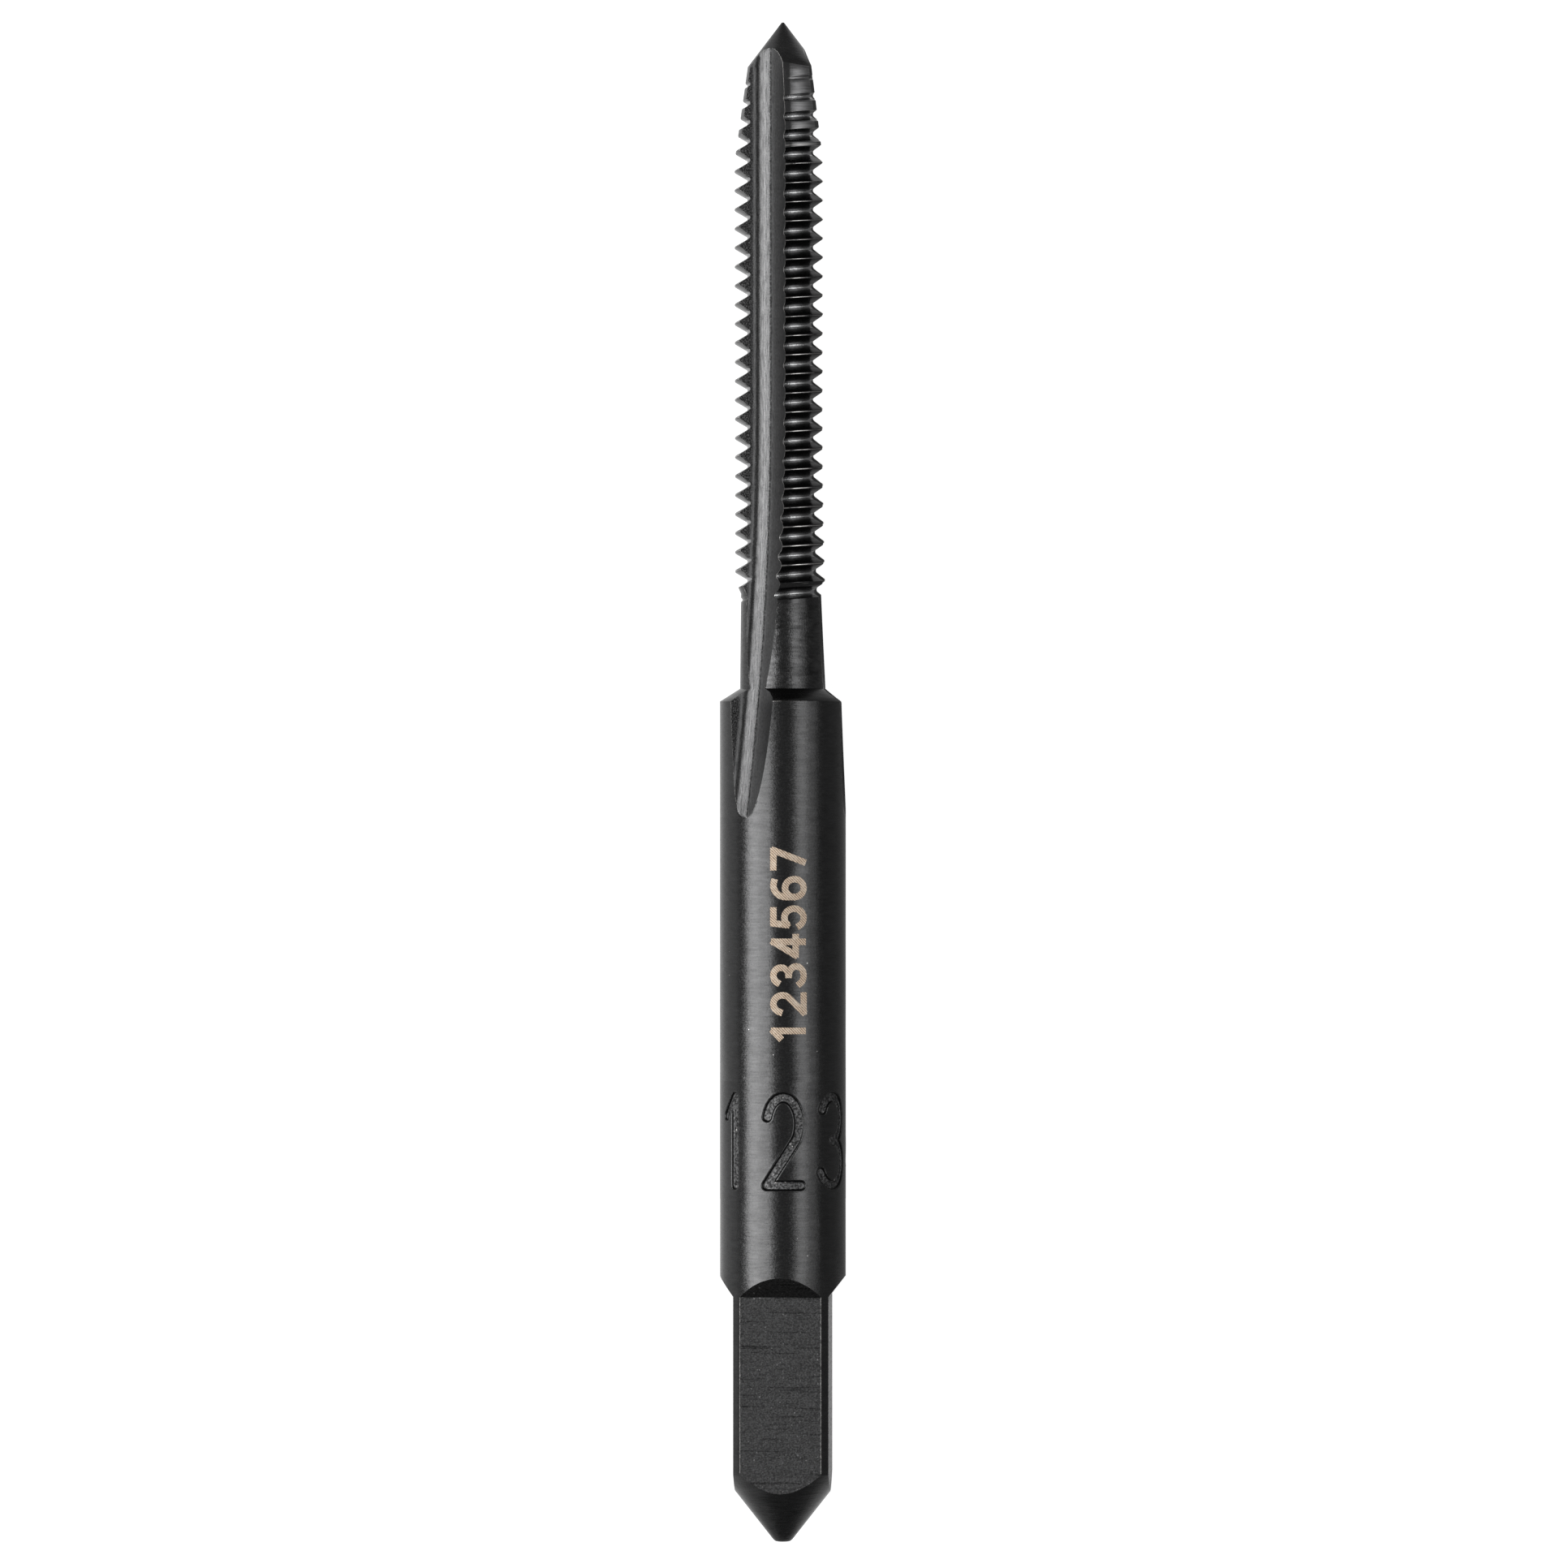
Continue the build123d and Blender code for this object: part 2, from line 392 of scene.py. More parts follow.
def gap_station(step):
    """The station function and wear for one row of the thread; steps count from the last gap's middle."""
    own = step - np.rint(GAP_ROWS * LANDS / FLUTES).astype(int)
    gap = np.floor_divide(own + GAP_ROWS // 2, GAP_ROWS)
    role = own - GAP_ROWS * gap
    middle = LAST_GAP + PITCH * LANDS / FLUTES + PITCH * gap
    missing, lift = gap_state(middle)
    side = np.where(role < 0, -1.0, 1.0)
    depth = np.abs(role)

    def station(roll):
        centre = middle + PITCH * (roll - LAND_MIDDLE) / 360.0
        behind = roll - EDGE_ROLL

        def half_width(way, at, high, none):
            width = np.full_like(roll, PITCH / 3)
            for _ in range(8):
                width = gap_half_width(land_radius(at + way * width, behind), high)
            return np.where(none, LEAST_GAP, np.clip(width, LEAST_GAP, PITCH / 2 - LEAST_CREST))

        def crest_before(at, gap_middle):
            none, own_lift = gap_state(gap_middle)
            none_before = gap_state(gap_middle - PITCH)[0]
            low = at - PITCH + half_width(1.0, at - PITCH, 0.0, none_before) + 2 * FINE
            high = at - half_width(-1.0, at, own_lift, none) - 2 * FINE
            crest = at - PITCH / 2
            for kink in (THREAD_END, NECK_FRONT):
                crest = np.where((kink > low) & (kink < high), kink, crest)
            return np.clip(crest, low, np.maximum(high, low))

        width = half_width(side, centre, lift, missing)
        crest_behind = crest_before(centre + PITCH, middle + PITCH)
        crest = np.where(side < 0, crest_before(centre, middle), crest_behind)
        crest_off = np.abs(crest - centre)
        top = land_radius(centre + side * PITCH / 2, behind)
        crest_round = np.clip(TOOTH_APEX_R - top, LEAST_CREST, None)
        full = (crest_round < SHARP_CREST) & ~missing
        flank_end = np.where(full, PITCH / 2 - crest_round * math.cos(FLANK), width - 0.4 * FINE)
        tangent = np.minimum(ROOT_ROUND * math.cos(FLANK), width * 0.5)
        off = np.where(depth <= ROOT_ROWS, tangent * depth / ROOT_ROWS, flank_end)
        off = np.where(depth == FLANK_ROW, (tangent + flank_end) / 2, off)
        for row, round_share, flat_share in CREST_ROWS:
            on_flat = width + FINE + (crest_off - width - FINE) * flat_share
            off = np.where(depth == row, np.where(full, PITCH / 2 - round_share * crest_round, on_flat), off)
        place = np.where(depth == GAP_ROWS // 2, crest, centre + side * off)
        place = np.maximum(place, POINT_END + LEAST_STEP * (step - FIRST_STEP + 1))
        surface = land_radius(place, behind)
        from_top = np.minimum(PITCH / 2 - off, crest_round)
        rounded = top - crest_round + np.sqrt(crest_round**2 - from_top**2)
        crest_cut = np.where(full & (depth < GAP_ROWS // 2), rounded, surface)
        cut = np.where(depth > CORNER_ROW, crest_cut, gap_radius(off, lift))
        return place, np.where(missing, surface, np.minimum(surface, cut))

    at_top = CREST_WEAR[np.clip(depth - CORNER_ROW - 1, 0, 3)]
    at_corner = np.where(np.isin(depth, (CORNER_ROW, CORNER_ROW + 1)), LEAD_WEAR, 0.0)
    worn = np.where(middle < CHAMFER_END, at_corner, at_top)
    past_end = middle + PITCH / 2 * np.sign(role) - THREAD_END
    limits, shares = zip(*LAST_WEAR)
    worn = worn * np.select([past_end > limit for limit in limits], shares, 1.0)
    return station, np.where(missing, 0.0, worn)


def build_rows():
    """All rows from the tip's first ring to the end of the flutes, and each region's last row."""
    tip_rows, tip_ease = 7, 1.3
    cone_rows, cone_end = 12, 1.22
    neck_rows, neck_first = 9, 0.85
    shoulder_round = 0.12
    flute_rows, flute_ease, flute_first = 34, 1.7, 0.03
    rows = []
    ends = {}
    for at in np.linspace(0.0, 1.0, tip_rows) ** tip_ease * FLUTE_FRONT:
        flat_row(rows, at)
    for share in np.linspace(0.0, 1.0, cone_rows)[1:-1]:
        flat_row(rows, FLUTE_FRONT + (cone_end - FLUTE_FRONT) * share**2)
    point_end_row(rows)
    ends["point"] = len(rows) - 1
    for step in range(FIRST_STEP, LAST_ROWS + 1):
        add_row(rows, *gap_station(step))
    ends["thread"] = len(rows) - 1
    for at in np.linspace(NECK_FRONT + neck_first, NECK_END, neck_rows):
        flat_row(rows, at)
    ends["neck"] = len(rows) - 1
    flat_row(rows, NECK_END + shoulder_round)
    flat_row(rows, SHANK_START - shoulder_round)
    flat_row(rows, SHANK_START - FINE, 0.5)
    flat_row(rows, SHANK_START + FINE, 1.0)
    ends["shoulder"] = len(rows) - 1
    flat_row(rows, SHANK_START + flute_first, 0.0)
    for share in np.linspace(0.0, 1.0, flute_rows)[1:]:
        flat_row(rows, FLUTE_EXIT - (FLUTE_EXIT - SHANK_START - flute_first) * (1 - share) ** flute_ease)
    return rows, ends


# ---------------------------------------------------------------- the square and the rear cone

EDGE_NEAR = 0.01  # degrees


def square_layout():
    """For the columns behind the flutes: the roll of each, and its angle from the middle of its own flat."""
    columns = FLUTES * LAND_STEPS
    per_side = columns // 4
    corner_steps = 4
    half = SQUARE_HALF * math.tan(math.radians(SQUARE_EDGE))
    inner = half - 2.5 * EDGE_WEAR
    even = np.linspace(-inner, inner, per_side - corner_steps - 3)
    flat = np.concatenate([[-half, -half + EDGE_WEAR], even, [half - EDGE_WEAR, half]])
    corner = (90 - 2 * SQUARE_EDGE) / corner_steps
    angles = list(np.degrees(np.arctan(flat / SQUARE_HALF)))
    angles += [SQUARE_EDGE + corner * n for n in range(1, corner_steps)]
    own = np.tile(angles, 4)
    rolls = SQUARE_ROLL + np.repeat([0, 90, 180, 270], len(angles)) + own
    start = int(np.argmin(np.abs(rolls - FLUTE_ROLL)))
    rolls = np.roll(rolls, -start)
    rolls[columns - start:] += 360
    return rolls, np.roll(own, -start)


def square_rows():
    """Rows from the flutes' end to the blunt rear end, and each region's last row."""
    even = (LAND_START + SECTOR * np.linspace(0, 1, LAND_STEPS + 1)[:-1]).ravel()
    narrow = (LAND_START + SECTOR * LAND_SHARE[:-1]).ravel()
    rolls, own = square_layout()
    delta = np.radians(np.minimum(np.abs(own), SQUARE_EDGE))
    on_corner = np.abs(own) > SQUARE_EDGE + EDGE_NEAR
    on_edge = np.abs(np.abs(own) - SQUARE_EDGE) < EDGE_NEAR
    rows = []

    def put(place, radius, roll, wear=0.0):
        ones = np.ones_like(roll)
        rows.append((place * ones, radius * ones, roll, wear * ones))

    evened, shank_rows, clear, step, gap_under = 1.2, 12, 0.1, 0.001, 0.02
    for past, share in ((0.25, 0.35), (0.6, 0.7), (evened, 1.0)):
        put(FLUTE_EXIT + past, SHANK_TOP, narrow + (even - narrow) * share)
    first, last = FLUTE_EXIT + evened, RAMP_START - 0.4
    plain = [(first + (last - first) * share, SHANK_TOP) for share in np.linspace(0, 1, shank_rows)[1:]]
    plain = [(at, out) for at, out in plain if not BAND_START - clear < at < BAND_END + clear]
    under = SHANK_TOP - BAND_DEPTH - gap_under
    front = [(BAND_START, SHANK_TOP), (BAND_START + step, under)]
    back = [(BAND_END - step, under), (BAND_END, SHANK_TOP)]
    for at, out in sorted(plain + front + back):
        share = (at - first) / (last - first)
        put(at, out, even + (rolls - even) * share * share * (3 - 2 * share))
    steep, corner_earlier, ramp_wear = math.tan(RAMP_ANGLE), 0.05, 0.25
    taper = (SHANK_TOP - CORNER_R) / (SQUARE_START - RAMP_START)
    into = SHANK_TOP * (1 - np.cos(delta)) / (steep - taper * np.cos(delta))
    into = np.where(on_corner, into - corner_earlier, into)
    ends = {"shank": len(rows)}
    put(RAMP_START + into, SHANK_TOP - taper * into, rolls, np.where(on_corner, 0.0, ramp_wear))
    for share in (0.25, 0.6, 0.9):
        place = RAMP_START + into + (SQUARE_START - RAMP_START - into) * share
        plane = (SHANK_TOP - (place - RAMP_START) * steep) / np.cos(delta)
        turned = SHANK_TOP - taper * (place - RAMP_START)
        put(place, np.where(on_corner | on_edge, turned, plane), rolls, 0.0)
    flat_r = np.where(on_corner | on_edge, CORNER_R, SQUARE_HALF / np.cos(delta))
    ends["ramp"] = len(rows)
    rear = OVERALL - (flat_r - END_R) / math.tan(REAR_ANGLE)
    for share in (0.0, 0.02, 0.25, 0.5, 0.75, 0.985):
        put(SQUARE_START + (rear - SQUARE_START) * share, flat_r, rolls, np.where(on_edge, 1.0, 0.0))
    ends["flat"] = len(rows)
    put(rear, flat_r, rolls, 0.3)
    below_flats, cone_top, cone_end = 1.36, 1.2, END_R + 0.06
    for radius in (below_flats, *np.linspace(cone_top, cone_end, 7)):
        put(OVERALL - (radius - END_R) / math.tan(REAR_ANGLE), radius, rolls)
    for before_end, past_flat, worn in ((0.035, 0.015, 0.2), (0.008, -0.03, 0.2), (0.0, -0.09, 0.0)):
        put(OVERALL - before_end, END_R + past_flat, rolls, worn)
    return rows, ends


# ---------------------------------------------------------------- one closed mesh

REGIONS = ("point", "thread", "neck", "shoulder")
MATERIALS = ("point", "thread", "neck", "shoulder", "shank", "heel", "floor", "face", "flat", "ramp", "rear")


def region(number, ends, names, rest):
    """The first of the named regions that has not ended at this row, or the rest."""
    return next((name for name in names if number < ends[name]), rest)


def quad(row, column, width):
    """A face's corners as (row, column, 1 where it has gone round), in a grid this many columns wide."""
    beside = (column + 1) % width
    gone = int(beside == 0)
    return (row, column, 0), (row + 1, column, 0), (row + 1, beside, gone), (row, beside, gone)


def body_mesh():
    """The tap as one closed mesh, with each corner's grain coordinates and each point's wear."""
    rows, ends = build_rows()
    steps = HEEL_STEPS + FLOOR_STEPS + BEND_STEPS + FACE_STEPS
    across = LAND_STEPS + steps
    columns = FLUTES * across
    count = len(rows)
    lands, flutes = (np.array(parts) for parts in zip(*rows))
    table = np.concatenate([lands, flutes], axis=3)
    place, radius, roll, wear, run = table.transpose(1, 0, 2, 3).reshape(5, count, columns)
    flute_run = flutes[:, -1]

    land_columns = [m * across + c for m in range(FLUTES) for c in range(LAND_STEPS)]
    back, back_ends = square_rows()
    points, wears = [], []

    def keep(at, out, turn, worn):
        points.extend(points_at(at, out, np.radians(turn)))
        wears.extend(worn)

    keep(place.ravel(), radius.ravel(), roll.ravel(), wear.ravel())
    index = np.arange(count * columns).reshape(count, columns)
    shut = np.abs(flute_run).reshape(count, -1).max(axis=1) < TINY
    for i in np.flatnonzero(shut):
        for m in range(FLUTES):
            first = (m * across + LAND_STEPS) % columns
            for c in range(first, first + steps + 1):
                index[i, c % columns] = index[i, (first + steps) % columns]
    back_index = np.arange(len(back) * len(land_columns)).reshape(len(back), -1) + len(points)
    for row in back:
        keep(*row)

    faces, kinds, grain = [], [], []

    def face(corners, kind, coords):
        kept = {}
        for corner, coord in zip(corners, coords):
            kept.setdefault(corner, coord)
        if len(kept) > 2:
            faces.append(list(kept))
            kinds.append(MATERIALS.index(kind))
            grain.extend(kept.values())

    past_edge, past_gap = 0.05, 0.1
    flute_kinds = ["heel"] * HEEL_STEPS + ["floor"] * FLOOR_STEPS + ["face"] * (BEND_STEPS + FACE_STEPS)
    for i in range(count - 1):
        land_kind = region(i, ends, REGIONS, "shank")
        for c in range(columns):
            own, step = divmod(c, across)
            on_land = step < LAND_STEPS
            kind = land_kind if on_land else flute_kinds[step - LAND_STEPS]
            if kind == "thread" and place[i, c] > LAST_GAP + past_gap:
                kind = "neck"
            corners, coords = [], []
            for row, column, whole in quad(i, c, columns):
                corners.append(index[row, column])
                at, out = place[row, column], radius[row, column]
                if on_land:
                    coords.append((math.radians(roll[row, column] + 360 * whole), at, out))
                else:
                    edge_run = run[row, column]
                    if step == LAND_STEPS and column == c:
                        edge_run = flute_run[row, own, 0] - past_edge
                    if step == across - 1 and column != c:
                        edge_run = flute_run[row, own, -1] + past_edge
                    coords.append((edge_run, at, own + 1.0))
            face(corners, kind, coords)
    last = [part[count - 1, land_columns] for part in (index, place, radius, roll)]
    grids = [last] + [(ids, *row[:3]) for ids, row in zip(back_index, back)]
    width = len(land_columns)
    own_angle = square_layout()[1]
    for n in range(len(grids) - 1):
        section = region(n - 1, back_ends, ("shank", "ramp", "flat"), "rear")
        for c in range(width):
            on_flat = abs(own_angle[c]) < SQUARE_EDGE - EDGE_NEAR or own_angle[c] < 0
            kind = section if on_flat or section == "rear" else "shank"
            corners, coords = [], []
            for row, column, whole in quad(n, c, width):
                ids, at, out, turn = grids[row]
                corners.append(ids[column])
                flat_middle = turn[c] - own_angle[c]
                if kind in ("flat", "ramp"):
                    side = math.radians(turn[column] - flat_middle + 360 * whole)
                    coords.append((out[column] * math.sin(side), at[column], round(flat_middle) % 360))
                else:
                    coords.append((math.radians(turn[column] + 360 * whole), at[column], out[column]))
            face(corners, kind, coords)
    tip = len(points)
    keep(np.array([0.0, OVERALL]), np.zeros(2), np.zeros(2), np.zeros(2))
    first_ring, last_ring = list(dict.fromkeys(index[0])), list(back_index[-1])
    for a, b in zip(first_ring, first_ring[1:] + first_ring[:1]):
        face((tip, a, b), "point", [(0, 0, 0)] * 3)
    for a, b in zip(last_ring, last_ring[1:] + last_ring[:1]):
        face((b, a, tip + 1), "rear", [(0, OVERALL, 0)] * 3)

    used = sorted({int(n) for corners in faces for n in corners})
    new_number = {old: n for n, old in enumerate(used)}
    faces = [[new_number[int(n)] for n in corners] for corners in faces]
    mesh = new_mesh("tap_body", [points[n] for n in used], faces, grain, 31, wear=[wears[n] for n in used])
    mesh.polygons.foreach_set("material_index", kinds)
    mesh.validate()
    return mesh


body = body_mesh()
tap = add_object("tap_body", body)
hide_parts("tap")
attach(tap, "root")


# ---------------------------------------------------------------- numerals

def arc(across, up, wide, high, start, end):
    """Points along an elliptic arc, in units of a numeral's height."""
    degrees_each = 12
    count = max(2, int(abs(end - start) / degrees_each))
    angles = np.radians(np.linspace(start, end, count + 1))
    return list(zip(across + wide * np.cos(angles), up + high * np.sin(angles)))


NUMERALS = {
    1: [[(0.13, 0.78), (0.36, 1.0), (0.36, 0.0)]],
    2: [arc(0.30, 0.70, 0.28, 0.30, 165, -38) + [(0.02, 0.0), (0.60, 0.0)]],
    3: [arc(0.28, 0.75, 0.26, 0.25, 155, -90), arc(0.28, 0.25, 0.30, 0.25, 90, -155)],
    4: [[(0.62, 0.27), (0.0, 0.27), (0.44, 1.0), (0.44, 0.0)]],
    5: [[(0.55, 1.0), (0.10, 1.0), (0.05, 0.55)] + arc(0.28, 0.32, 0.30, 0.32, 128, -150)],
    6: [arc(0.40, 0.60, 0.38, 0.40, 70, 180) + [(0.02, 0.34)], arc(0.31, 0.31, 0.29, 0.31, 175, -185)],
    7: [[(0.02, 1.0), (0.60, 1.0), (0.22, 0.0)]],
}


def split_at_corners(stroke):
    """The stroke as runs that turn gently, cut at its sharp turns."""
    runs = [[stroke[0]]]
    for before, here, after in zip(stroke, stroke[1:], stroke[2:]):
        runs[-1].append(here)
        first, second = np.subtract(here, before), np.subtract(after, here)
        turn = abs(math.atan2(first[0] * second[1] - first[1] * second[0], first @ second))
        if turn > SHARP_TURN:
            runs.append([here])
    runs[-1].append(stroke[-1])
    return runs


def ribbon(stroke, width):
    """Left, middle and right points along a stroke of constant width, close together on its straights."""
    points = [np.array(stroke[0])]
    for point in stroke[1:]:
        start, leg = points[-1], np.array(point) - points[-1]
        parts = max(1, round(np.hypot(*leg) / STROKE_STEP))
        points += [start + leg * n / parts for n in range(1, parts + 1)]
    points = np.array(points)
    legs = np.diff(points, axis=0)
    legs /= np.hypot(legs[:, 0], legs[:, 1])[:, None]
    before = np.vstack([legs[:1], legs])
    after = np.vstack([legs, legs[-1:]])
    mean = before + after
    mean /= np.hypot(mean[:, 0], mean[:, 1])[:, None]
    stretch = 1 / np.maximum((mean * after).sum(axis=1), LEAST_MITRE)
    side = np.stack([-mean[:, 1], mean[:, 0]], axis=1) * (stretch * width / 2)[:, None]
    points[0] -= legs[0] * width * STROKE_CAP
    points[-1] += legs[-1] * width * STROKE_CAP
    return np.stack([points + side, points, points - side], axis=1)


def etched_numerals():
    """The row of numerals 1 to 7 along the shank, as a skin on its surface that reads towards the point."""
    vertices, faces, grain = [], [], []
    step = (ETCHED_END - ETCHED_START - LAST_NUMERAL * ETCHED_HEIGHT) / (len(NUMERALS) - 1)
    for number, strokes in NUMERALS.items():
        first = ETCHED_END - step * (number - 1)
        runs = [run for stroke in strokes for run in split_at_corners(stroke)]
        for level, run in enumerate(runs):
            strip = ribbon(np.array(run) * (ETCHED_HEIGHT - ETCHED_STROKE), ETCHED_STROKE)
            base = len(vertices)
            across, up = strip.reshape(-1, 2).T
            place = first - ETCHED_STROKE / 2 - across
            turn = math.radians(ETCHED_ROLL) + (up + ETCHED_STROKE / 2 - ETCHED_HEIGHT / 2) / SHANK_R
            out = np.full_like(turn, SHANK_R - ETCHED_LEVEL * (len(runs) - 1 - level))
            vertices += points_at(place, out, turn)
            grain += list(zip(turn, place, out))
            for n in range(len(strip) - 1):
                for side in (0, 1):
                    a = base + 3 * n + side
                    faces.append((a, a + 1, a + 4, a + 3))
    grain = [grain[corner] for corners in faces for corner in corners]
    return new_mesh("etched_numerals", vertices, faces, grain, None, wear=np.zeros(len(vertices)))


FAR = 9.0


def stroke_distance(across, up, strokes):
    """How far each point is from the nearest stroke's centre line."""
    nearest = np.full(np.shape(across), FAR)
    for stroke in strokes:
        for (x0, y0), (x1, y1) in zip(stroke, stroke[1:]):
            dx, dy = x1 - x0, y1 - y0
            along = np.clip(((across - x0) * dx + (up - y0) * dy) / (dx * dx + dy * dy), 0, 1)
            nearest = np.minimum(nearest, np.hypot(across - x0 - along * dx, up - y0 - along * dy))
    return nearest


def rolled_band():
    """A ring round the shank with numerals 1 to 4 pressed into it, closed on the inside."""
    columns, rows = 480, 132
    half_wall = 0.03
    burr_at, burr_wide, burr_high = 0.05, 0.022, 0.8 * SKIN
    bare_at, bare_wide = 0.035, 0.018
    turn = np.linspace(0, 2 * math.pi, columns + 1)[:-1]
    place = np.linspace(BAND_START, BAND_END, rows)
    turns, places = np.meshgrid(turn, place)
    distance = np.full(turns.shape, FAR)
    for number in (1, 2, 3, 4):
        middle = math.radians(ROLLED_ROLL + (2 - number) * ROLLED_STEP)
        away = (middle - turns + math.pi) % (2 * math.pi) - math.pi
        across = away * SHANK_R + ROLLED_WIDTH / 2
        up = ROLLED_MIDDLE - places + ROLLED_HEIGHT / 2
        scale = np.array([ROLLED_WIDTH / WIDEST_NUMERAL, ROLLED_HEIGHT])
        distance = np.minimum(distance, stroke_distance(across, up, [s * scale for s in NUMERALS[number]]))
    edge = distance - ROLLED_STROKE / 2
    wall = np.clip((half_wall - edge) / (2 * half_wall), 0, 1)
    sunk = wall * wall * (3 - 2 * wall)
    burr = np.exp(-((edge - burr_at) / burr_wide) ** 2)
    bare = np.exp(-((edge - bare_at) / bare_wide) ** 2)
    out = SHANK_TOP - ROLLED_DEPTH * sunk + burr_high * burr

    vertices = points_at(places, out, turns)
    for at in (BAND_END, BAND_START):
        vertices += points_at(at, SHANK_TOP - BAND_DEPTH, turn)
    ring_place = [*place, BAND_END, BAND_START]
    faces, grain = [], []
    for i in range(rows + 2):
        j = (i + 1) % (rows + 2)
        for c in range(columns):
            d = (c + 1) % columns
            faces.append((i * columns + c, j * columns + c, j * columns + d, i * columns + d))
            for row, column in ((i, c), (j, c), (j, c + 1), (i, c + 1)):
                radius = out[row, column % columns] if row < rows else SHANK_TOP
                grain.append((2 * math.pi * column / columns, ring_place[row], radius))
    bare, sunk = (np.append(values, np.zeros(2 * columns)) for values in (bare, sunk))
    return new_mesh("rolled_band", vertices, faces, grain, 60, wear=bare, pressed=sunk)


numerals = etched_numerals()
stamp = rolled_band()
for name, mesh in (("etched_numerals", numerals), ("rolled_band", stamp)):
    piece = add_object(name, mesh)
    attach(piece, "root")


# ---------------------------------------------------------------- materials

OXIDE = (0.0560, 0.0560, 0.0566)
DEEP = (0.010, 0.010, 0.010)
WORN = (0.42, 0.41, 0.40)
BEIGE = (0.63, 0.50, 0.38)
BEIGE_DARK = (0.15, 0.105, 0.07)
BEIGE_PALE = (0.62, 0.55, 0.46)
HATCH = 0.062 * math.sqrt(2)


class Finish:
    """A black steel finish as a node tree, read from the mesh's grain and wear.

    Scales of noises and dots are in cells to a millimetre, or to a radian or the radius round the tap.
    """

    def __init__(self, name):
        self.material = bpy.data.materials.new(name)
        self.material.use_nodes = True
        self.nodes = self.material.node_tree.nodes
        self.shader = self.nodes["Principled BSDF"]
        self.put(1.0, self.shader.inputs["Metallic"])
        grain = self.attribute("grain").outputs["Vector"]
        self.u, self.place, self.w = self.node("SeparateXYZ", grain).outputs
        self.wear = self.attribute("wear").outputs["Fac"]

    def node(self, kind, *values, **named):
        """A new node, with these values or links at its inputs in their order, or by their names."""
        node = self.nodes.new("ShaderNode" + kind)
        for value, socket in zip(values, node.inputs):
            self.put(value, socket)
        for name, value in named.items():
            self.put(value, node.inputs[name])
        return node

    def put(self, value, socket):
        if isinstance(value, tuple):
            socket.default_value = (*value, 1.0)
        elif isinstance(value, (int, float)):
            socket.default_value = value
        else:
            self.material.node_tree.links.new(value, socket)

    def attribute(self, name):
        node = self.node("Attribute")
        node.attribute_name = name
        return node

    def calc(self, operation, *values):
        node = self.node("Math", *values)
        node.operation = operation
        return node.outputs[0]

    def times(self, a, b):
        return self.calc("MULTIPLY", a, b)

    def plus(self, a, b):
        return self.calc("ADD", a, b)

    def spread(self, value, low, high, to_low=0.0, to_high=1.0):
        """The value taken from one range to another, and held at its ends."""
        return self.node("MapRange", value, low, high, to_low, to_high).outputs[0]

    def vector(self, x, y, z):
        return self.node("CombineXYZ", x, y, z).outputs[0]

    def stretched(self, across, along, third=1.0):
        """Flat coordinates on a ground face, scaled across and along the tap."""
        pairs = zip((self.u, self.place, self.w), (across, along, third))
        scaled = [self.times(part, scale) for part, scale in pairs]
        return self.vector(*scaled)

    def turned(self, around, along):
        """Coordinates that close on themselves round the tap."""
        x = self.times(self.calc("COSINE", self.u), around)
        y = self.times(self.calc("SINE", self.u), around)
        return self.vector(x, y, self.times(self.place, along))

    def away(self, value, middle):
        """How far the value is from a middle one."""
        return self.calc("ABSOLUTE", self.plus(value, -middle))

    def noise(self, vector, detail=2.0):
        return self.node("TexNoise", Vector=vector, Scale=1.0, Detail=detail).outputs["Fac"]

    def dots(self, vector, size, share):
        """Small round specks: size is a share of a cell, share is how many cells have one."""
        node = self.node("TexVoronoi", Vector=vector, Scale=1.0)
        own_share, own_size, _ = self.node("SeparateXYZ", node.outputs["Color"]).outputs
        chosen = self.calc("LESS_THAN", own_share, share)
        inside = self.calc("LESS_THAN", node.outputs["Distance"], self.times(own_size, size))
        return self.times(chosen, inside)

    def blend(self, amount, first, second):
        node = self.node("Mix", Factor=amount)
        node.data_type = "RGBA"
        self.put(first, node.inputs[6])
        self.put(second, node.inputs[7])
        return node.outputs[2]

    def oxide(self, value, low, high, dark, bright):
        """Oxide that goes from dark to bright as a value goes from low to high."""
        return self.blend(self.spread(value, low, high), shade(OXIDE, dark), shade(OXIDE, bright))

    def worn_edge(self, cover, fine=14.0):
        """Bare metal along the edges, broken up along their length."""
        broken = self.noise(self.vector(0.0, self.times(self.place, fine), self.times(self.u, 2.0)), 3.0)
        limit = self.spread(broken, 0.3, 0.7, 1.15 - 0.75 * cover, 1.3 - 0.35 * cover)
        return self.spread(self.calc("SUBTRACT", self.wear, limit), 0.0, 0.15)

    def finish(self, colour, roughness, height, depth):
        """The finished material, with a bump of this depth in millimetres."""
        bump = self.node("Bump", Strength=1.0, Distance=depth * MM, Height=height)
        for name, value in (("Base Color", colour), ("Roughness", roughness), ("Normal", bump.outputs[0])):
            self.put(value, self.shader.inputs[name])
        return self.material


def shade(colour, amount):
    """The colour, made brighter or darker."""
    return tuple(amount * part for part in colour)


